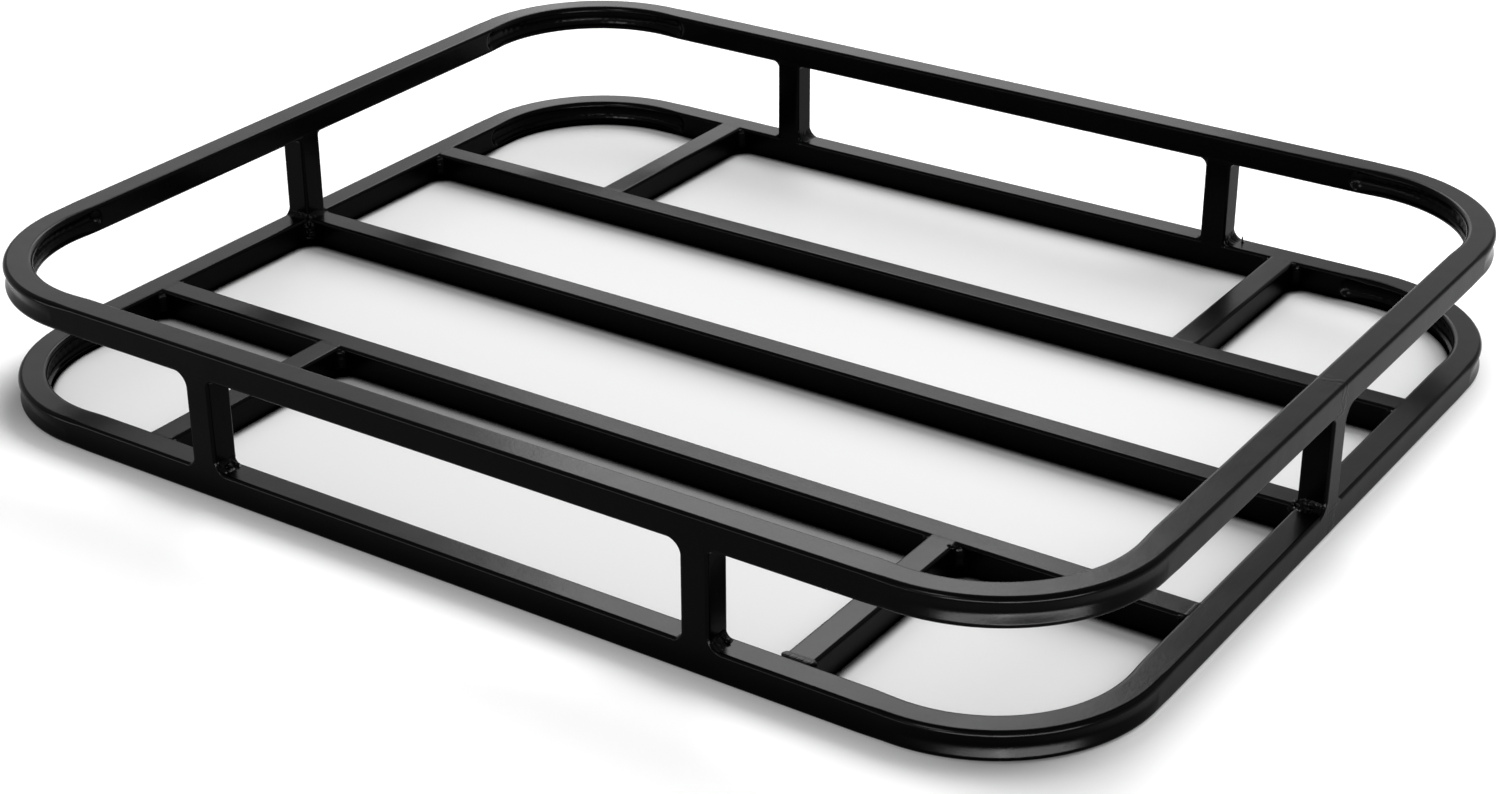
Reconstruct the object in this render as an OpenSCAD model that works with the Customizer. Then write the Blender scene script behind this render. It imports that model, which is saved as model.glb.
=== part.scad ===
/* [Tube] */
// Outside width of the square tube, one inch
tube = 25.4; // [20:0.1:32]
// Wall thickness of the tube
wall = 2.1; // [1.5:0.1:2.5]
// Outside radius of the tube's long edges
edge_r = 3; // [2.6:0.1:4]

/* [Basket] */
// Length over the rails, along X
basket_l = 1099; // [1020:1:1500]
// Width over the rails, along Y
basket_w = 899; // [800:1:1100]
// Height from the ground to the top of the top rail
basket_h = 134; // [110:1:220]
// Outside radius of the rails' corner bends
bend_r = 142; // [120:1:170]

/* [Posts and floor] */
// Middle line of the front and back posts, from the basket's centre
post_x = 244; // [200:1:280]
// Middle line of the outer floor bars, from the basket's centre
bar_y = 202; // [150:1:220]
// Middle line of the stubs, from the basket's centre
stub_x = 317; // [300:1:345]

/* [Pressed bends] */
// Radius of the round groove in a bend's inner wall
groove_r = 13; // [11:0.5:15]
// Depth of that groove
groove_depth = 5; // [2:0.5:7]
// How far the groove runs on past each end of the bend
groove_run = 20; // [2:1:24]
// Radius across the shallow dish in a bend's outer wall
dish_r = 21; // [16:0.5:30]
// Depth of that dish at the middle of the bend
dish_depth = 2.5; // [1:0.1:3.5]

/* [Welds] */
// Leg of the upright fillets in the floor's corners
floor_leg = 8; // [4:0.5:10]
// Leg of the larger fillet at a post's foot, on its right
foot_leg = 8; // [4:0.5:10]
// Leg of the larger fillet at a post's head, on its left
head_leg = 10; // [5:0.5:12]
// Leg of the smaller fillets, on the posts' other sides
small_leg = 5; // [3:0.5:7]
// Width of the butt weld that closes a rail
seam_w = 3; // [2:0.5:5]
// Place of that butt weld along the right side, from the middle
seam_y = 2; // [-60:1:60]

/* [Hidden] */
$fn = 64;
coat = [0.11, 0.11, 0.12];
weld_coat = [0.16, 0.16, 0.17];
half_l = basket_l / 2;
half_w = basket_w / 2;
half_t = tube / 2;
// Middle line of the rails' sides, of their bends, and of each rail's height
side_x = half_l - half_t;
side_y = half_w - half_t;
bend_c = bend_r - half_t;
rail_z = [half_t, basket_h - half_t];
post_h = basket_h - 2 * tube;
// How far the press reaches along the straights beside a bend
press_reach = groove_run + groove_r + 1;
// Share of a fillet's leg over which its ends run out
run_out = 0.6;

// A square with round corners, the outline of the tube or of its bore
module rounded_square(side, r) {
    square([side - 2 * r, side], center = true);
    square([side, side - 2 * r], center = true);
    for (x = [-1, 1], y = [-1, 1])
        translate([x, y] * (side / 2 - r)) circle(r = r);
}

// The tube's outline, set in from its outside by inset
module tube_outline(inset = 0) {
    rounded_square(tube - 2 * inset, edge_r - inset);
}

// A straight open tube of the given length, centred, along Z
module straight_tube(length) {
    linear_extrude(length, center = true) difference() {
        tube_outline();
        tube_outline(wall);
    }
}

// Places its children at the four bend centres, each turned to its corner
module at_bends() {
    for (x = [0, 1], y = [0, 1])
        mirror([x, 0, 0]) mirror([0, y, 0])
            translate([half_l - bend_r, half_w - bend_r, 0]) children();
}

// The groove that the press leaves along the inner wall, with round ends
module press_groove(grow) {
    path_r = bend_r - tube - groove_r + groove_depth;
    cut_r = groove_r + grow;
    rotate_extrude(angle = 90) translate([path_r, 0]) circle(r = cut_r);
    for (swap = [0, 1])
        mirror([swap, -swap, 0]) translate([path_r, 0, 0]) rotate([90, 0, 0]) {
            cylinder(r = cut_r, h = groove_run);
            translate([0, 0, groove_run]) sphere(r = cut_r);
        }
}

// The dish that the bend draws into its outer wall: a flatter arc from one end
// of the bend to the other, so that it is deepest at the middle
module press_dish(grow) {
    chord = bend_r * sin(45);
    rise = bend_r - chord - dish_depth;
    arc_r = (chord * chord + rise * rise) / (2 * rise);
    back = (arc_r - rise - chord) / sqrt(2);
    translate([-back, -back, 0]) rotate_extrude(angle = 90)
        translate([arc_r + dish_r, 0]) circle(r = dish_r + grow);
}

// A bend and the ends of its straights that the press reaches, set in by inset
module bend_body(inset) {
    difference() {
        union() {
            rotate_extrude(angle = 90) translate([bend_c, 0]) tube_outline(inset);
            for (swap = [0, 1])
                mirror([swap, -swap, 0]) translate([bend_c, 0, 0]) rotate([90, 0, 0])
                    linear_extrude(press_reach) tube_outline(inset);
        }
        press_groove(inset);
        press_dish(inset);
    }
}

// One pressed bend of the hollow tube
module pressed_bend() {
    difference() {
        bend_body(0);
        bend_body(wall);
    }
}

// One length of tube bent to a loop, its two ends apart by the butt weld
module rail() {
    straight_l = basket_l - 2 * (bend_r + press_reach);
    straight_w = basket_w - 2 * (bend_r + press_reach);
    at_bends() pressed_bend();
    for (y = [-side_y, side_y])
        translate([0, y, 0]) rotate([90, 0, 90]) straight_tube(straight_l);
    translate([-side_x, 0, 0]) rotate([90, 0, 0]) straight_tube(straight_w);
    // The right side's two lengths, from the butt weld to the bends
    for (side = [-1, 1]) {
        near = seam_y + side * seam_w / 2;
        far = side * straight_w / 2;
        translate([side_x, (near + far) / 2, 0]) rotate([90, 0, 0])
            straight_tube(abs(far - near));
    }
}

// The butt weld between a rail's ends, ground flush
module rail_seam() {
    translate([side_x, seam_y, 0]) rotate([90, 0, 0])
        linear_extrude(seam_w, center = true) difference() {
            tube_outline();
            tube_outline(wall);
        }
}

// A hollow fillet along Z in the corner between +X and +Y, its ends run out
module fillet_weld(leg, run) {
    taper = leg * run_out;
    flare = leg * (sqrt(2) - 1);
    reach = leg + flare * (1 + 1 / taper);
    difference() {
        cube([leg, leg, run]);
        translate([leg, leg, 0]) rotate_extrude()
            polygon([[0, -1], [reach, -1], [leg, taper],
                     [leg, run - taper], [reach, run + 1], [0, run + 1]]);
    }
}

// Upright fillets on both sides of a bar's end that meets a wall facing +X
module bar_end_fillets() {
    for (side = [0, 1])
        mirror([0, side, 0]) translate([0, half_t, 1]) fillet_weld(floor_leg, tube - 3);
}

// Fillets across a post's left and right sides, on the face it stands on
module post_end_fillets(left_leg, right_leg) {
    for (side = [0, 1])
        mirror([1 - side, 0, 0]) translate([half_t, half_t - 1, 0])
            rotate([90, 0, 0]) fillet_weld([left_leg, right_leg][side], tube - 2);
}

module top_rail() { color(coat) translate([0, 0, rail_z[1]]) rail(); }
module bottom_rail() { color(coat) translate([0, 0, rail_z[0]]) rail(); }
module top_rail_seam() { color(weld_coat) translate([0, 0, rail_z[1]]) rail_seam(); }
module bottom_rail_seam() { color(weld_coat) translate([0, 0, rail_z[0]]) rail_seam(); }

// A post between the rails, at the given place
module post(x, y) {
    color(coat) translate([x, y, basket_h / 2]) straight_tube(post_h);
}

// A floor bar from the left side to the right side
module floor_bar(y) {
    color(coat) translate([0, y, half_t]) rotate([90, 0, 90])
        straight_tube(basket_l - 2 * tube);
}

// A stub from an outer floor bar to the rail beside it
module stub(x, side) {
    near = bar_y + half_t;
    far = half_w - tube;
    color(coat) translate([x, side * (near + far) / 2, half_t]) rotate([90, 0, 0])
        straight_tube(far - near);
}

module floor_bar_welds() {
    color(weld_coat)
        for (y = [-bar_y, 0, bar_y], side = [0, 1])
            mirror([side, 0, 0]) translate([tube - half_l, y, 0]) bar_end_fillets();
}

module stub_welds() {
    color(weld_coat)
        for (x = [-stub_x, stub_x], side = [0, 1])
            mirror([0, side, 0]) {
                translate([x, bar_y + half_t, 0]) rotate([0, 0, 90]) bar_end_fillets();
                translate([x, half_w - tube, 0]) rotate([0, 0, -90]) bar_end_fillets();
            }
}

// Places its children at the front, back and right posts, with X along the rail
module at_full_posts() {
    for (x = [-post_x, post_x], y = [-side_y, side_y]) translate([x, y, 0]) children();
    translate([side_x, 0, 0]) rotate([0, 0, -90]) children();
}

// The same at the left post, which is welded more lightly
module at_left_post() {
    translate([-side_x, 0, 0]) rotate([0, 0, -90]) children();
}

module post_foot_welds() {
    color(weld_coat) translate([0, 0, tube]) {
        at_full_posts() post_end_fillets(small_leg, foot_leg);
        at_left_post() post_end_fillets(small_leg, small_leg);
    }
}

module post_head_welds() {
    color(weld_coat) translate([0, 0, basket_h - tube]) mirror([0, 0, 1]) {
        at_full_posts() post_end_fillets(head_leg, small_leg);
        at_left_post() post_end_fillets(small_leg, small_leg);
    }
}

bottom_rail();
top_rail();
bottom_rail_seam();
top_rail_seam();
post(-post_x, -side_y);  // front_left_post
post(post_x, -side_y);  // front_right_post
post(-post_x, side_y);  // back_left_post
post(post_x, side_y);  // back_right_post
post(-side_x, 0);  // left_post
post(side_x, 0);  // right_post
floor_bar(-bar_y);  // front_floor_bar
floor_bar(0);  // middle_floor_bar
floor_bar(bar_y);  // back_floor_bar
stub(-stub_x, -1);  // front_left_stub
stub(stub_x, -1);  // front_right_stub
stub(-stub_x, 1);  // back_left_stub
stub(stub_x, 1);  // back_right_stub
floor_bar_welds();
stub_welds();
post_foot_welds();
post_head_welds();
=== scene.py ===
import math

import bpy
import numpy as np
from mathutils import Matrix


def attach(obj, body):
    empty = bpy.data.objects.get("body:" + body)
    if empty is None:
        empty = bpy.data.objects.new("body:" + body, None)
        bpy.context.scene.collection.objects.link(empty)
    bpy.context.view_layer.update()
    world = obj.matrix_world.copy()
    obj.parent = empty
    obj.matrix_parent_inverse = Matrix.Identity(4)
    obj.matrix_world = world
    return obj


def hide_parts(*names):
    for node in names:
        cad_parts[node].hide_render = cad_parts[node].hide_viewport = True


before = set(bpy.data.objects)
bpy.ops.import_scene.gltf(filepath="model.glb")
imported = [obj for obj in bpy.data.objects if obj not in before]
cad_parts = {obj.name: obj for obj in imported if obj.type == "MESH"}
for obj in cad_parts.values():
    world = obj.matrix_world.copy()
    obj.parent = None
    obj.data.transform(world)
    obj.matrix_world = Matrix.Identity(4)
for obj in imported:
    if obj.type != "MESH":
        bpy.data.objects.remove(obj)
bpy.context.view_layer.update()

# The basket's sizes in millimetres, as in the part's source
MM = 0.001
TUBE = 25.4
HALF_T = TUBE / 2
EDGE_R = 3.0
LENGTH, WIDTH, HEIGHT = 1099.0, 899.0, 134.0
BEND_R = 142.0
BEND_C = BEND_R - HALF_T
SIDE_X, SIDE_Y = LENGTH / 2 - HALF_T, WIDTH / 2 - HALF_T
POST_X, BAR_Y, STUB_X = 244.0, 202.0, 317.0
GROOVE_R, GROOVE_DEPTH, GROOVE_RUN = 13.0, 5.0, 20.0
DISH_DEPTH = 2.5
SEAM_Y = 2.0
FLOOR_LEG, FOOT_LEG, HEAD_LEG, SMALL_LEG = 8.0, 8.0, 10.0, 5.0
# The rails' edges are fuller in a bend, by these radii on its inside and outside, and still a little
# within the run beyond it
FULL_IN, FULL_OUT, FULL_RUN = 1.7, 1.1, 26.0
# The creases across the groove: height and pitch
CREASE, CREASE_PITCH = 0.11, 9.3
# The fold of a bend's outer wall, by half heights of its flat: how rounded the V is, and its rim
FOLD_SOFT, FOLD_RIM = 0.18, 1.016
# The height that every mesh keeps above the floor
LIFT = 0.03
# The directions along the basket's length, along its width and up
X, Y, Z = np.eye(3)


# ---------------------------------------------------------------- surfaces

class Shell:
    """Collects surfaces given as grids of points and makes one closed mesh of them."""

    def __init__(self):
        self.points, self.faces, self.uvs, self.count = [], [], [], 0

    def add(self, grid, ring=False, u=None):
        """A grid of points, rows by columns, whose columns close round. With ring its rows close too,
        and otherwise each end row is capped. u is the map's first value for each row, from 0 to 1 if it
        isn't given, and the second goes from 0 to 1 over the columns."""
        rows, cols = grid.shape[:2]
        ids = self.count + np.arange(rows * cols).reshape(rows, cols)
        u = np.linspace(0, 1, rows + ring) if u is None else u
        v = np.linspace(0, 1, cols + 1)
        if ring:
            ids = np.vstack([ids, ids[:1]])
        ids = np.hstack([ids, ids[:, :1]])
        uu, vv = np.meshgrid(u, v, indexing="ij")
        quads = np.stack([ids[:-1, :-1], ids[1:, :-1], ids[1:, 1:], ids[:-1, 1:]], -1).reshape(-1, 4)
        quad_u = np.stack([uu[:-1, :-1], uu[1:, :-1], uu[1:, 1:], uu[:-1, 1:]], -1).reshape(-1, 4)
        quad_v = np.stack([vv[:-1, :-1], vv[1:, :-1], vv[1:, 1:], vv[:-1, 1:]], -1).reshape(-1, 4)
        flat = grid.reshape(-1, 3)
        a, b, c, d = (flat[quads[:, k] - self.count] for k in range(4))
        centre = flat.mean(0)
        volume = np.sum((a - centre) * np.cross(b - centre, c - centre)) \
            + np.sum((a - centre) * np.cross(c - centre, d - centre))
        faces = quads.tolist()
        uvs = np.stack([quad_u, quad_v], -1).reshape(-1, 2).tolist()
        if not ring:
            first, last = ids[0, :-1].tolist(), ids[-1, :-1].tolist()
            faces += [first, last[::-1]]
            uvs += [[u[0], w] for w in v[:-1]] + [[u[-1], w] for w in v[:-1][::-1]]
        if volume < 0:
            turned, at = [], 0
            for face in faces:
                turned += uvs[at:at + len(face)][::-1]
                at += len(face)
            uvs, faces = turned, [face[::-1] for face in faces]
        self.points.append(flat)
        self.faces += faces
        self.uvs += uvs
        self.count += rows * cols

    def build(self, name, finish, slot, *stands_for):
        """Makes the mesh in metres, smooth, with its UV map, rides it on the basket and hides the part's
        nodes that it stands for."""
        mesh = bpy.data.meshes.new(name)
        points = np.vstack(self.points) * MM
        points[:, 2] = np.maximum(points[:, 2], LIFT * MM)
        mesh.from_pydata(points.tolist(), [], self.faces)
        uv_map = mesh.uv_layers.new(name="UVMap")
        uv_map.data.foreach_set("uv", np.array(self.uvs, np.float32).ravel())
        mesh.polygons.foreach_set("use_smooth", np.ones(len(mesh.polygons), bool))
        mesh.set_sharp_from_angle(angle=math.radians(50))
        mesh.update()
        mesh.materials.append(finish)
        piece = bpy.data.objects.new(name, mesh)
        bpy.context.scene.collection.objects.link(piece)
        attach(piece, "root")
        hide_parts(*stands_for)


def ease(t):
    """Goes smoothly from 0 to 1 as t does: three t squared less two t cubed."""
    t = np.clip(t, 0, 1)
    return t * t * (3 - 2 * t)


def over(x, soft):
    """The larger of x and 0 with a rounded knee: half of x plus the root of x squared plus soft squared."""
    return (x + np.sqrt(x * x + soft * soft)) / 2


def waves(x, y, seed, size):
    """Smooth unevenness between about -1 and 1: seven sine waves of random direction, length near
    size and phase, added together."""
    rng = np.random.default_rng(seed)
    total = 0
    for _ in range(7):
        turn, phase = rng.uniform(0, 2 * np.pi, 2)
        step = 2 * np.pi / (size * rng.uniform(0.6, 1.7))
        total = total + np.sin((x * math.cos(turn) + y * math.sin(turn)) * step + phase)
    return total / 4


def loop_stations():
    """Points along a rail's middle line, counter-clockwise from the butt weld on the right side: five
    straights and four bends. Gives place, outward direction, distance run, distance past the
    nearest bend end (0 in a bend) and how far round a bend the point is, from 0 to 1."""
    quarter = BEND_C * np.pi / 2
    press = GROOVE_RUN + GROOVE_R + 3
    side_l, side_w = LENGTH - 2 * BEND_R, WIDTH - 2 * BEND_R
    lengths = [side_w / 2 - SEAM_Y, quarter, side_l, quarter, side_w, quarter, side_l, quarter,
               side_w / 2 + SEAM_Y]
    place, heading, run = np.array([SIDE_X, SEAM_Y]), np.pi / 2, 0.0
    parts = []
    for k, length in enumerate(lengths):
        bend = k % 2 == 1
        if bend:
            t = np.linspace(0, length, 140)[:-1]
            turn = t / BEND_C
            centre = place + BEND_C * np.array([-math.sin(heading), math.cos(heading)])
            out = np.stack([np.sin(heading + turn), -np.cos(heading + turn)], 1)
            at = centre + BEND_C * out
            past, round_bend = np.zeros_like(t), t / length
            heading += np.pi / 2
            place = centre + BEND_C * np.array([math.sin(heading), -math.cos(heading)])
        else:
            first, last = k == 0, k == len(lengths) - 1
            ends = []
            if not first:
                ends.append(np.linspace(0, press, 20)[:-1])
            low, high = (0 if first else press), (length if last else length - press)
            ends.append(np.linspace(low, high, max(4, int((high - low) / 12)))[:-1])
            if not last:
                ends.append(np.linspace(length - press, length, 20)[:-1])
            t = np.concatenate(ends)
            along = np.array([math.cos(heading), math.sin(heading)])
            out = np.repeat([[math.sin(heading), -math.cos(heading)]], len(t), 0)
            at = place + t[:, None] * along
            past = length - t if first else t if last else np.minimum(t, length - t)
            round_bend = np.zeros_like(t)
            place = place + length * along
        parts.append((at, out, run + t, past, round_bend, np.full(len(t), k)))
        run += length
    return [np.concatenate(p) for p in zip(*parts)] + [run]


def groove_depth(z, past):
    """How deep the press's groove is at height z, past mm beyond the nearest bend's end: the depth of a
    circle of GROOVE_R round the press line, which a sphere closes beyond GROOVE_RUN, with a soft edge."""
    free = np.maximum(0, past - GROOVE_RUN)[:, None]
    circle = np.sqrt(np.maximum(1e-6, GROOVE_R ** 2 - z * z - free ** 2))
    return over(circle - (GROOVE_R - GROOVE_DEPTH), 0.5)


def draw_depth(turn, in_bend):
    """How far a bend draws its outer wall in, by how far round it a station is, from 0 to 1: the gap from
    the bend's circle to a flatter arc between the same ends, whose radius is the square of the half chord
    plus the square of the rise, over twice the rise. It is 0 outside the bends."""
    chord = BEND_R * math.sin(math.pi / 4)
    rise = BEND_R - chord - DISH_DEPTH
    arc_r = (chord ** 2 + rise ** 2) / (2 * rise)
    back = (arc_r - rise - chord) / math.sqrt(2)
    lean = back * (np.cos(turn * np.pi / 2) + np.sin(turn * np.pi / 2))
    drawn = BEND_R + lean - np.sqrt(np.maximum(0, lean ** 2 - 2 * back ** 2 + arc_r ** 2))
    return np.where(in_bend, drawn, 0)[:, None]


def rail_surface(mid_z, seed):
    """The tube's rounded square carried along a rail's loop. In and beside a bend the inner wall takes
    the press's round groove. The outer wall is drawn in, deepest half-way round, and folds to that depth
    at mid-height by a rounded V. The edges there are fuller, and fine creases cross the groove."""
    at, out, run, past, turn, part, total = loop_stations()
    col = lambda a: a[:, None]
    bent = 1 - ease(past / FULL_RUN)
    r_in = col(EDGE_R + FULL_IN * bent)
    r_out = col(EDGE_R + FULL_OUT * bent)
    fan = np.radians(np.linspace(0, 90, 8))
    steps = np.linspace(1, -1, 19)[1:-1]
    # The rows beside a rounded edge lie this close to it, so that the flats stay flat
    lead = 0.25
    share = (draw_depth(turn, part % 2 == 1) / DISH_DEPTH) ** 0.75
    fold = DISH_DEPTH * share * (1.1 + 0.05 * waves(col(run), 0, seed + 5, 70))
    # The profile, from the outer wall over the top to the inner wall and back below
    n_parts, z_parts = [], []

    def corner(side, up, radius, start):
        angle = fan + start
        n_parts.append(side * (HALF_T - radius) + radius * np.cos(angle))
        z_parts.append(up * (HALF_T - radius) + radius * np.sin(angle))

    def flat(up, first, last):
        ends = np.concatenate([first - np.sign(up) * lead, (first + last) / 2,
                               last + np.sign(up) * lead], 1)
        n_parts.append(ends)
        z_parts.append(np.full_like(ends, up * HALF_T))

    corner(1, 1, r_out, 0)
    flat(1, HALF_T - r_out, -(HALF_T - r_in))
    corner(-1, 1, r_in, np.pi / 2)
    z = steps * (HALF_T - r_in)
    beat = col(run) * 2 * np.pi / CREASE_PITCH + 1.4 * waves(col(run), z, seed, 40)
    crease = CREASE * col(bent * (past == 0)) * np.sin(beat)
    n_parts.append(-HALF_T + groove_depth(z, past) + crease * (1 - steps ** 2))
    z_parts.append(z)
    corner(-1, -1, r_in, np.pi)
    flat(-1, -(HALF_T - r_in), HALF_T - r_out)
    corner(1, -1, r_out, 3 * np.pi / 2)
    z = -steps * (HALF_T - r_out)
    folded = (FOLD_RIM - np.sqrt((z / (HALF_T - r_out)) ** 2 + FOLD_SOFT ** 2)) / (FOLD_RIM - FOLD_SOFT)
    n_parts.append(HALF_T - fold * folded)
    z_parts.append(z)
    n, z = np.concatenate(n_parts, 1), np.concatenate(z_parts, 1)
    x, y = (col(at[:, k]) + n * col(out[:, k]) for k in (0, 1))
    grid = np.stack([x, y, mid_z + z], -1)
    shell = Shell()
    shell.add(grid, ring=True, u=np.append(run, total) * MM)
    return shell


def bead(shell, corner, along, wall_1, wall_2, leg, first, last, seed, full=0.0, ripple=0.12, pitch=2.6):
    """A fillet weld in the inside corner of two tubes, from first to last along it in mm from the tubes'
    middle. Across, the face is an arc hollowed from leg along one wall to leg up the other, filled
    towards the straight chord by full. Along, crescent ripples a pitch apart stand out by ripple, and an
    end short of the outer face runs out on a quarter ellipse. Where the tubes' edges round away by a
    depth, the arc's centre moves into the corner by that depth and the leg grows by twice of it, and a
    last past the outer face leaves that end ground flush with both tubes."""
    corner, along, wall_1, wall_2 = (np.asarray(a, float) for a in (corner, along, wall_1, wall_2))
    flat = HALF_T - EDGE_R
    ground = last > HALF_T
    count = int((last - first) * 3) + 12
    t = np.linspace(first, last, count)
    if ground:
        rounding = flat + EDGE_R * np.sin(np.radians(np.linspace(0, 90, 10)))
        t = np.concatenate([np.linspace(first, flat, count)[:-1], rounding, [last]])
    t = t[:, None]
    depth = EDGE_R - np.sqrt(EDGE_R ** 2 - np.clip(np.abs(t) - flat, 0, EDGE_R) ** 2)
    angle = np.radians(np.linspace(0, 90, 17))[None, :]
    taper = np.clip((t - first if ground else np.minimum(t - first, last - t)) / (leg * 0.6), 0, 1)
    calm = ease((last - t) / 6) if ground else 1.0
    size = leg * (0.15 + 0.85 * np.sqrt(1 - (1 - taper) ** 2)) * (1 + 0.06 * calm * waves(t, 0, seed, 12))
    size = size + 2 * depth
    chord = angle / (np.pi / 2)
    p = size * ((1 - np.sin(angle)) * (1 - full) + (1 - chord) * full)
    q = size * ((1 - np.cos(angle)) * (1 - full) + chord * full)
    across = chord * 2 - 1
    phase = t / pitch - 0.5 * across ** 2 + 0.3 * waves(t, across * 4, seed + 1, 9)
    scallop = np.abs(np.sin(np.pi * phase)) ** 0.8 - 0.5
    lift = ripple * calm * taper * (1 - across ** 4) * (scallop + 0.5 * waves(t, across * 6, seed + 2, 5))
    p, q = p - depth + lift * 0.7 + 0.03, q - depth + lift * 0.7 + 0.03
    sunk = -3.4 * np.ones_like(t)
    p = np.concatenate([p, sunk, sunk, p[:, :1]], 1)
    q = np.concatenate([q, q[:, -1:], sunk, sunk], 1)
    shell.add(corner + t[..., None] * along + p[..., None] * wall_1 + q[..., None] * wall_2)


def collar(shell, origin, axis, side, proud, seed, before=3.2, after=4.6, sunk=0.35, rough=0.04):
    """The weld between a tube's flat end and the rounded edge of the tube that carries it, ground
    flush: the tube's own rounded square carried from before the end to after it, standing out by proud
    half-way and sunk at both ends, with the rough unevenness of grinding."""
    origin, axis, side = (np.asarray(a, float) for a in (origin, axis, side))
    third = np.cross(axis, side)
    t = np.linspace(0, 1, 22)[:, None]
    fan = np.radians(np.linspace(0, 90, 6))
    run = np.linspace(-1, 1, 14)[1:-1] * (HALF_T - EDGE_R)
    ring_a, ring_b = [], []
    for k in range(4):
        turn = k * np.pi / 2
        corner_a = HALF_T - EDGE_R + EDGE_R * np.cos(fan)
        corner_b = HALF_T - EDGE_R + EDGE_R * np.sin(fan)
        wall_a, wall_b = -run, np.full_like(run, HALF_T)
        a, b = np.concatenate([corner_a, wall_a]), np.concatenate([corner_b, wall_b])
        ring_a.append(a * math.cos(turn) - b * math.sin(turn))
        ring_b.append(a * math.sin(turn) + b * math.cos(turn))
    a, b = np.concatenate(ring_a)[None, :], np.concatenate(ring_b)[None, :]
    swell = np.sin(np.pi * t) ** 0.7
    around = np.arctan2(b, a) * HALF_T
    out = -sunk + (sunk + proud) * swell + rough * swell * waves(t * (before + after), around, seed, 6)
    grow = 1 + out / HALF_T
    place = -before + t * (before + after) + 0 * a
    a, b = a * grow, b * grow
    shell.add(origin + place[..., None] * axis + a[..., None] * side + b[..., None] * third)


def lump(shell, centre, size, seed):
    """A drop of weld: an ellipsoid of the three half sizes, swollen and dented by waves, its poles
    closed by small caps."""
    theta = np.linspace(0.04, np.pi - 0.04, 14)[:, None]
    phi = np.linspace(0, 2 * np.pi, 21)[None, :-1]
    r = 1 + 0.14 * waves(theta * 2, np.cos(phi), seed, 1.6)
    r = r + 0.1 * waves(np.sin(phi) * 2, theta, seed + 1, 1.2)
    ring = r * np.sin(theta)
    grid = np.stack([ring * np.cos(phi), ring * np.sin(phi), r * np.cos(theta) + 0 * phi], -1)
    shell.add(np.asarray(centre, float) + grid * np.asarray(size, float))


def drops(shell, table):
    """A lump for each row of place, half sizes and seed."""
    for place, half, seed in table:
        lump(shell, place, half, seed)


def ridge(shell, start, end, up, width, height, seed):
    """A flat rippled bead lying across a face: across, height times one less the square of the place,
    which runs from -1 to 1 over the width. Height and width wave along it, crescent ripples are added,
    and both ends are rounded off. Its sides are closed well under the face."""
    start, end, up = (np.asarray(a, float) for a in (start, end, up))
    length = np.linalg.norm(end - start)
    along = (end - start) / length
    side = np.cross(up, along)
    t = np.linspace(0, 1, int(length * 4) + 8)[:, None]
    place = np.linspace(-1, 1, 19)[None, :]
    from_end = np.clip(np.minimum(t, 1 - t) * length / (width * 0.5), 0, 1)
    taper = np.sqrt(np.clip(1 - (1 - from_end) ** 2, 0.03, 1))
    half = width / 2 * taper * (1 + 0.1 * waves(t * length, 0, seed, 9))
    rise = height * taper * (1 + 0.15 * waves(t * length, 5, seed + 1, 7))
    phase = t * length / 3.0 - 0.5 * (1 - place ** 2)
    scallop = (np.abs(np.sin(np.pi * phase)) ** 0.8 - 0.6) * (1 - place ** 4) * taper
    a = place * half
    b = rise * (1 - place ** 2) + height * 0.2 * scallop - 0.2
    a = np.concatenate([a, a[:, -1:], a[:, :1]], 1) + 0.3 * waves(t * length, 9, seed + 2, 12)
    b = np.concatenate([b, -2.2 + 0 * t, -2.2 + 0 * t], 1)
    shell.add(start + (t * length)[..., None] * along + a[..., None] * side + b[..., None] * up)


# ---------------------------------------------------------------- finishes

class Wire:
    """A socket of a node tree. Arithmetic on wires adds Math nodes."""

    def __init__(self, nodes, socket):
        self.nodes, self.socket = nodes, socket

    def _do(self, operation, *values):
        return self.nodes.node("ShaderNodeMath", {"operation": operation}, dict(enumerate(values)))

    def __add__(self, other):
        return self._do("ADD", self, other)

    def __sub__(self, other):
        return self._do("SUBTRACT", self, other)

    def __rsub__(self, other):
        return self._do("SUBTRACT", other, self)

    def __mul__(self, other):
        return self._do("MULTIPLY", self, other)

    __radd__, __rmul__ = __add__, __mul__

    def size(self):
        return self._do("ABSOLUTE", self)

    def least(self, other):
        return self._do("MINIMUM", self, other)

    def most(self, other):
        return self._do("MAXIMUM", self, other)

    def between(self, low, high):
        """Goes smoothly from 0 at low to 1 at high."""
        return self.nodes.node("ShaderNodeMapRange", {"interpolation_type": "SMOOTHSTEP"},
                               {"Value": self, "From Min": low, "From Max": high})


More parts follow.
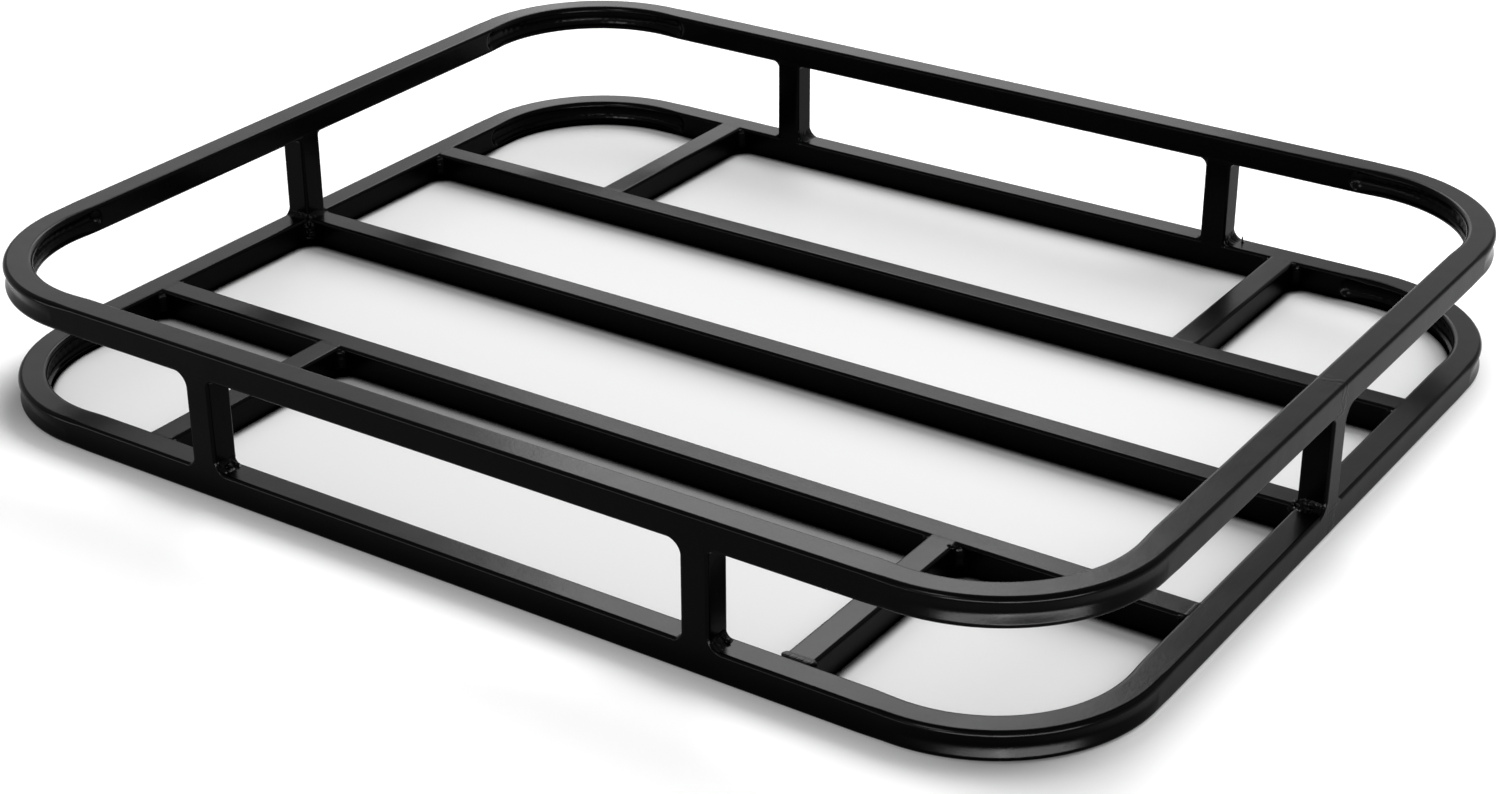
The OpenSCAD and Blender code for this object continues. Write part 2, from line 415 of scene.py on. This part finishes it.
class Nodes:
    """A node tree and the shader in it that its wires lead to."""

    def __init__(self, tree, shader):
        self.tree, self.shader = tree, shader

    def put(self, node, socket, value):
        """Sets a socket to a value or links a wire to it."""
        if isinstance(value, Wire):
            self.tree.links.new(value.socket, node.inputs[socket])
        else:
            node.inputs[socket].default_value = value

    def set(self, socket, value):
        self.put(self.shader, socket, value)

    def node(self, kind, settings, sockets, output=0):
        """Adds a node: its settings first, then the values or links of its sockets."""
        made = self.tree.nodes.new(kind)
        for key, value in settings.items():
            setattr(made, key, value)
        for socket, value in sockets.items():
            self.put(made, socket, value)
        return Wire(self, made.outputs[output])

    def place(self):
        return self.node("ShaderNodeTexCoord", {}, {}, "Object")

    def axes(self, vector):
        return [self.node("ShaderNodeSeparateXYZ", {}, {0: vector}, k) for k in range(3)]

    def noise(self, vector, size, detail=2.0, rough=0.5):
        """Noise whose lumps are about size metres across, from 0 to 1."""
        return self.node("ShaderNodeTexNoise", {}, {"Vector": vector, "Scale": 1 / size,
                                                    "Detail": detail, "Roughness": rough})

    def blend(self, amount, first, second):
        """The colour first where amount is 0 and second where it is 1."""
        return self.node("ShaderNodeMix", {"data_type": "RGBA"}, {0: amount, 6: first, 7: second}, 2)


class Finish(Nodes):
    """One material and its shader, which leads to the material's surface."""

    def __init__(self, name, shader="ShaderNodeBsdfPrincipled"):
        self.material = bpy.data.materials.new(name)
        self.material.use_nodes = True
        tree = self.material.node_tree
        tree.nodes.clear()
        super().__init__(tree, tree.nodes.new(shader))
        self.out = tree.nodes.new("ShaderNodeOutputMaterial")
        self.put(self.out, "Surface", Wire(self, self.shader.outputs[0]))

    def add_glow(self, colour):
        """Adds a glow of the given colour to what the shader sends back."""
        glow = self.node("ShaderNodeEmission", {}, {"Color": colour, "Strength": 1.0})
        shader = Wire(self, self.shader.outputs[0])
        self.put(self.out, "Surface", self.node("ShaderNodeAddShader", {}, {0: shader, 1: glow}))


COAT_BLACK = (0.0004, 0.0004, 0.0005, 1)
COAT_GREY = (0.0012, 0.0012, 0.0014, 1)
# The coat's weak gloss, by which its dark faces stay black beside a white floor, and its least roughness
COAT_IOR = 1.10
COAT_ROUGH = 0.15
# How far the coat's relief rises, in metres, where the height is 1
COAT_RELIEF = 0.00009
# How large, in metres, the coat's clouds, its waves, the orange peel, the grain, the spaces between
# specks and the roughness of the welds under it are
CLOUD, WAVE, PEEL, GRAIN, SPECKS, WELD_ROUGH = 0.05, 0.03, 0.0032, 0.0016, 0.011, 0.0045


def powder_coat(name, peel=1.0, rough_under=0.0):
    """Satin black powder coat: a slightly cloudy black, the fine orange peel of melted powder, a few
    specks, and the shallow unevenness of the steel under it."""
    f = Finish(name)
    f.set("IOR", COAT_IOR)
    at = f.place()
    cloud = f.noise(at, CLOUD, 3.0)
    grain = f.noise(at, GRAIN, 2.0)
    peel_map = f.noise(at, PEEL, 1.5)
    wavy = f.noise(at, WAVE, 1.0)
    cells = f.node("ShaderNodeTexVoronoi", {"feature": "F1"}, {"Vector": at, "Scale": 1 / SPECKS}, "Distance")
    speck = 1 - cells.between(0.012, 0.035)
    f.set("Base Color", f.blend(cloud.between(0.3, 0.8) * 0.6 + speck * 0.3, COAT_BLACK, COAT_GREY))
    f.set("Roughness", cloud * 0.09 + grain * 0.05 + COAT_ROUGH)
    height = peel_map * (0.5 * peel) + grain * (0.14 * peel) + speck * 0.5 + wavy * 2.4
    if rough_under:
        height = height + f.noise(at, WELD_ROUGH, 3.0, 0.6) * rough_under
    f.set("Normal", f.node("ShaderNodeBump", {}, {"Height": height, "Distance": COAT_RELIEF,
                                                  "Strength": 1.0}))
    return f.material


tube_coat = powder_coat("tube_coat")
weld_coat = powder_coat("weld_coat", peel=1.2, rough_under=3.0)


# ---------------------------------------------------------------- pieces

# Where the upright beads of the floor start and end, from the tubes' middle, and the same for the beads
# of the posts, whose outer ends are ground flush
LOW, TOP = 1.2 - HALF_T, 10.9
BACK, FLUSH = -11.6, HALF_T + 0.015
# The posts: place, the rail's own direction, outward, the legs of the head's left and right fillets, and
# that of the foot's right one
POSTS = [((x, s * SIDE_Y), X, s * Y, HEAD_LEG, 3.6, FOOT_LEG) for x in (-POST_X, POST_X) for s in (-1, 1)]
POSTS += [((SIDE_X, 0.0), -Y, X, HEAD_LEG, 3.0, FOOT_LEG),
          ((-SIDE_X, 0.0), -Y, -X, SMALL_LEG, SMALL_LEG, SMALL_LEG)]
# Drops left at the ends of the floor bars and of the stubs: each one's place, half sizes and seed
BAR_DROPS = (
    ((522.0, -216.6, 24.2), (3.2, 2.8, 1.9), 171), ((-520.5, -15.6, 21.0), (1.7, 2.0, 4.2), 172),
    ((-521.6, -17.6, 12.5), (1.6, 2.2, 3.4), 173))
STUB_DROPS = (
    ((STUB_X + 12.6, -420.6, 23.0), (3.0, 3.4, 2.2), 291), ((327.8, -221.0, 24.6), (4.0, 3.0, 1.9), 292),
    ((331.2, 420.8, 24.3), (2.6, 2.6, 2.0), 293))
# The same beside the feet of the right post, the front posts and the back posts, the last two a spike
# of spatter
FOOT_DROPS = (
    ((536.0, -15.4, 27.2), (4.6, 2.2, 2.0), 401), ((527.0, -14.8, 26.8), (2.4, 1.6, 1.8), 402),
    ((543.5, -14.6, 26.2), (2.2, 1.6, 1.3), 403), ((521.8, -14.0, 26.2), (1.7, 1.7, 2.0), 404),
    ((-231.0, -446.2, 31.0), (1.2, 1.6, 4.2), 405), ((-228.3, -438.0, 27.9), (2.6, 3.2, 1.9), 406),
    ((-227.0, -430.0, 26.9), (2.8, 2.4, 1.7), 407), ((257.5, -446.8, 27.4), (1.3, 1.6, 2.0), 408),
    ((259.3, -445.9, 25.5), (1.7, 1.6, 1.2), 409), ((257.2, -444.4, 30.0), (1.1, 1.5, 1.5), 410),
    ((261.8, -433.0, 26.9), (2.8, 2.6, 1.7), 411), ((-231.4, 426.2, 33.5), (1.0, 1.2, 5.2), 412),
    ((-228.9, 426.8, 27.1), (2.4, 2.0, 2.1), 413), ((-229.5, 425.0, 22.4), (2.1, 1.2, 2.7), 414),
    ((258.6, 427.6, 27.8), (2.0, 2.0, 3.0), 415), ((257.6, 424.8, 22.0), (1.6, 1.2, 3.4), 416),
    ((268.6, 441.0, 28.0), (0.8, 0.8, 3.4), 417), ((269.4, 440.4, 25.6), (1.6, 1.4, 0.8), 418))
# The tubes that keep the part's own solids
PLAIN_TUBES = (
    "front_left_post", "front_right_post", "back_left_post", "back_right_post", "left_post", "right_post",
    "front_floor_bar", "middle_floor_bar", "back_floor_bar",
    "front_left_stub", "front_right_stub", "back_left_stub", "back_right_stub")


def rails():
    """Both rails' tubes and the butt welds that close them, the upper one ground more roughly."""
    rail_surface(HALF_T, 11).build("bottom_rail_tube", tube_coat, "coated_tube", "bottom_rail")
    rail_surface(HEIGHT - HALF_T, 23).build("top_rail_tube", tube_coat, "coated_tube", "top_rail")
    for name, z in (("bottom_rail", HALF_T), ("top_rail", HEIGHT - HALF_T)):
        shell = Shell()
        collar(shell, (SIDE_X, SEAM_Y, z), Y, X, 0.06, int(z), before=9.5, after=9.5, sunk=0.08,
               rough=0.12 if z > TUBE else 0.03)
        shell.build(name + "_butt_weld", weld_coat, "coated_weld", name + "_seam")


def floor_bar_beads():
    """Welds of the floor bars to the lower rail's short sides, upright in the corners, and the ground
    joint across each bar's end."""
    shell = Shell()
    for k, y in enumerate((-BAR_Y, 0.0, BAR_Y)):
        for s in (-1, 1):
            end_x = s * (LENGTH / 2 - TUBE)
            for side in (-1, 1):
                full, ripple = (0.35, 0.45) if y == 0 else (0.05, 0.14)
                bead(shell, (end_x, y + side * HALF_T, HALF_T), Z, -s * X, side * Y, FLOOR_LEG, LOW, TOP,
                     100 + 10 * k + 3 * s + side, full=full, ripple=ripple, pitch=3.4)
            collar(shell, (end_x, y, HALF_T), s * X, Y, 0.09, 140 + 5 * k + s)
    # The middle bar's top also carries a small bead against each side post
    for s in (-1, 1):
        bead(shell, (s * (LENGTH / 2 - TUBE), 0, TUBE), Y, -s * X, Z, 4.5, -11.0, 11.0, 160 + s, full=0.6,
             ripple=0.5, pitch=4.2)
    drops(shell, BAR_DROPS)
    shell.build("floor_bar_weld_beads", weld_coat, "coated_weld", "floor_bar_welds")


def stub_beads():
    """Welds of the stubs to the outer floor bars and to the lower rail's long sides."""
    shell = Shell()
    for j, x in enumerate((-STUB_X, STUB_X)):
        for s in (-1, 1):
            near, far = s * (BAR_Y + HALF_T), s * (WIDTH / 2 - TUBE)
            for side in (-1, 1):
                for y, wall, seed in ((near, s * Y, 200), (far, -s * Y, 230)):
                    bead(shell, (x + side * HALF_T, y, HALF_T), Z, wall, side * X, FLOOR_LEG, LOW, TOP,
                         seed + 10 * j + 3 * s + side, full=0.05)
            as_laid = x > 0 and s < 0
            collar(shell, (x, near, HALF_T), -s * Y, X, 0.09, 260 + 5 * j + s)
            collar(shell, (x, far, HALF_T), s * Y, X, -0.9 if as_laid else 0.09, 280 + 5 * j + s)
    # The front right stub's front weld was left as it was laid, a rippled bead across the top
    ridge(shell, (STUB_X - 14.5, -421.6, TUBE), (STUB_X + 14.0, -421.6, TUBE), Z, 9.0, 0.7, 290)
    drops(shell, STUB_DROPS)
    shell.build("stub_weld_beads", weld_coat, "coated_weld", "stub_welds")


def post_beads():
    """Welds at the feet and the heads of the posts, and the drops beside the feet."""
    feet, heads = Shell(), Shell()
    for k, ((x, y), along, out, left_leg, right_leg, foot_leg) in enumerate(POSTS):
        middle = np.array([x, y, 0.0])
        for side, head, foot in ((-1, left_leg, SMALL_LEG), (1, right_leg, foot_leg)):
            corner = middle + side * HALF_T * along
            bead(feet, corner + TUBE * Z, out, side * along, Z, foot, BACK, FLUSH, 300 + 4 * k + side,
                 full=0.25, ripple=0.5, pitch=4.3)
            bead(heads, corner + (HEIGHT - TUBE) * Z, out, side * along, -Z, head, BACK, FLUSH,
                 340 + 4 * k + side, full=0.1, ripple=0.25, pitch=3.2)
        collar(feet, middle + TUBE * Z, -Z, X, 0.05, 380 + k)
        collar(heads, middle + (HEIGHT - TUBE) * Z, Z, X, 0.05, 390 + k)
    drops(feet, FOOT_DROPS)
    feet.build("post_foot_weld_beads", weld_coat, "coated_weld", "post_foot_welds")
    heads.build("post_head_weld_beads", weld_coat, "coated_weld", "post_head_welds")


def coat_plain_tubes():
    """Gives the coat to the posts, floor bars and stubs."""
    for name in PLAIN_TUBES:
        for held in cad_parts[name].material_slots:
            held.material = tube_coat


# ---------------------------------------------------------------- floor, light and camera

# The floor's half size, and how far it lies under the tubes, in metres
FLOOR_HALF, FLOOR_DROP = 9.0, 0.0001
# The paper's white outside the basket and, a little darker as painted shade, under it, and how much it glows
# to seen rays far off, outside and under the basket, where its weaker glow lets the parts' shadows show and
# also darkens the floor as painted shade
WHITE_OUT, PAINTED_SHADE_WHITE_IN = (0.78, 0.78, 0.78, 1), (0.76, 0.76, 0.76, 1)
GLOW_FAR, GLOW_OUT, GLOW_IN = 0.67, 0.42, 0.035
# The middle and half sizes of the floor under the basket that takes painted shade, and how far from a tube
# the light is looked for that tells where its foot's painted dark line lies
SHADE_X, SHADE_Y, SHADE_HALF_L, SHADE_HALF_W = 0.01, -0.01, 0.49, 0.375
FOOT_SHADOW_REACH = 0.016
# The sky as it is seen, and as it lights matt surfaces
SKY_SEEN, SKY_LIGHT = 0.97, 0.4
# The lamps: name, place, target, width, height and radiance. The parts keep the light of the wide window
# behind from the floor in front of them. The cards show only in the coat's gloss: those behind are for
# the top faces, and those low and close in front for the folded bends and the rounded edges.
WINDOW = ("back_window", (0.5, 2.9, 2.4), (0, 0, 0), 6.4, 2.8, 4.8)
CARDS = (
    ("back_card", (-1.58, 2.62, 2.55), (0, 0, 0), 1.36, 1.3, 16.5),
    ("low_back_card", (-1.5, 2.65, 1.15), (0, 0, 0), 1.5, 1.0, 3.8),
    ("left_card", (-2.9, 2.3, 1.9), (0, 0, 0), 1.6, 1.6, 2.5),
    ("middle_back_card", (-0.15, 2.7, 1.2), (0, 0, 0), 1.1, 1.1, 1.5),
    ("right_front_card", (1.25, -0.84, 0.11), (0.5, -0.4, 0.11), 0.8, 0.2, 56.0),
    ("front_card", (0.82, -1.25, 0.11), (0.5, -0.4, 0.11), 0.7, 0.2, 56.0),
    ("front_left_card", (-0.45, -1.25, 0.12), (-0.1, -0.45, 0.12), 1.5, 0.16, 16.0),
    ("high_front_card", (0.3, -3.5, 2.35), (0, 0, 0.1), 0.9, 0.7, 60.0))
# The camera as fitted to the tubes' edges in the photograph: lens and sensor in millimetres, place in
# metres and turn in degrees
LENS, SENSOR = 65.943, 36.0
CAMERA_PLACE, CAMERA_TURN = (1.22901, -1.84222, 1.09656), (63.0289, 0.1645, 33.7993)


def seen_rays(nodes_of):
    """1 for rays from the camera and for those that gloss and clear parts send on, 0 for the rest."""
    rays = [nodes_of.node("ShaderNodeLightPath", {}, {}, "Is %s Ray" % kind)
            for kind in ("Camera", "Glossy", "Transmission")]
    return (rays[0] + rays[1] + rays[2]).least(1.0)


def past_box(x, y, half_x, half_y):
    """The square of the distance of x, y from a box of the given half sizes, 0 inside it."""
    past_x, past_y = (x.size() - half_x).most(0.0), (y.size() - half_y).most(0.0)
    return past_x * past_x + past_y * past_y


def floor_paper():
    """White paper that glows less under the basket, so that the parts' shadows show there, and is a little
    darker there as painted shade. Along the foot of each tube it is painted black in a line, a painted shadow
    where hardly any light comes in between tube and paper."""
    paper = Finish("floor_paper", "ShaderNodeBsdfDiffuse")
    px, py, _ = paper.axes(paper.place())
    away = past_box(px - SHADE_X, py - SHADE_Y, SHADE_HALF_L, SHADE_HALF_W)
    # near is 1 under the basket, where the paper's colour is darkened as painted shade and its glow is
    # lowered
    near = 1 - away.between(0.0, 0.012)
    far = away.between(0.5, 4.0)
    round_bend = past_box(px, py, (LENGTH / 2 - BEND_R) * MM, (WIDTH / 2 - BEND_R) * MM)
    rail_line = (BEND_C * MM) ** 2
    inside = 1 - round_bend.between(rail_line * 0.99, rail_line * 1.01)
    # Ambient occlusion finds the tubes' feet, where the paper is painted black as a painted contact shadow
    open_sky = paper.node("ShaderNodeAmbientOcclusion", {"samples": 12}, {"Distance": FOOT_SHADOW_REACH}, "AO")
    foot = (1 - open_sky.between(0.6, 0.86)) * inside
    # The paper's colour: painted shade under the basket, and painted black along the tubes' feet as a painted
    # shadow
    paper.set("Color", paper.blend(foot, paper.blend(near, WHITE_OUT, PAINTED_SHADE_WHITE_IN), (0, 0, 0, 1)))
    # The glow is weaker under the basket: the parts' real shadows show there, and the floor is darker as
    # painted shade
    glow = far * (GLOW_FAR - GLOW_OUT) + GLOW_OUT - near * (GLOW_OUT - GLOW_IN)
    # No glow along the tubes' feet, so that the painted shadow there stays dark
    paper.add_glow(seen_rays(paper) * glow * (1 - foot))
    return paper.material


def lay_floor():
    """The square of paper, a hair under the tubes."""
    signs = ((-1, -1), (1, -1), (1, 1), (-1, 1))
    corners = [(x * FLOOR_HALF, y * FLOOR_HALF, -FLOOR_DROP) for x, y in signs]
    mesh = bpy.data.meshes.new("floor")
    mesh.from_pydata(corners, [], [(0, 1, 2, 3)])
    floor = bpy.data.objects.new("floor", mesh)
    bpy.context.scene.collection.objects.link(floor)
    mesh.materials.append(floor_paper())


def light_sky():
    """A white sky that lights matt surfaces less than it is seen to shine."""
    world = bpy.data.worlds.new("studio")
    bpy.context.scene.world = world
    world.use_nodes = True
    sky = Nodes(world.node_tree, world.node_tree.nodes["Background"])
    sky.set("Color", (1, 1, 1, 1))
    sky.set("Strength", seen_rays(sky) * (SKY_SEEN - SKY_LIGHT) + SKY_LIGHT)


def softbox(name, place, target, width, height, radiance):
    """A soft area lamp at place, facing target. Its power is radiance times pi times its area."""
    lamp = bpy.data.lights.new(name, "AREA")
    lamp.shape, lamp.size, lamp.size_y = "RECTANGLE", width, height
    lamp.energy = radiance * math.pi * width * height
    holder = bpy.data.objects.new(name, lamp)
    away = np.array(place, float) - np.array(target, float)
    flat = math.hypot(away[0], away[1])
    holder.location = place
    holder.rotation_euler = (math.atan2(flat, away[2]), 0, math.atan2(away[0], -away[1]))
    bpy.context.scene.collection.objects.link(holder)
    return holder


def set_lamps():
    """The window, which the coat's gloss doesn't show, and the cards, which nothing else shows."""
    window = softbox(*WINDOW)
    window.visible_glossy = False
    for card in CARDS:
        holder = softbox(*card)
        holder.visible_diffuse = holder.visible_camera = False


def set_camera():
    """The camera at the photograph's viewing angle."""
    optics = bpy.data.cameras.new("camera")
    optics.sensor_width = SENSOR
    optics.lens = LENS
    optics.clip_start, optics.clip_end = 0.05, 60
    camera = bpy.data.objects.new("camera", optics)
    bpy.context.scene.collection.objects.link(camera)
    camera.location = CAMERA_PLACE
    camera.rotation_euler = tuple(math.radians(turn) for turn in CAMERA_TURN)
    bpy.context.scene.camera = camera
    bpy.context.scene.view_settings.view_transform = "Standard"


rails()
floor_bar_beads()
stub_beads()
post_beads()
coat_plain_tubes()
lay_floor()
light_sky()
set_lamps()
set_camera()

bpy.context.view_layer.update()
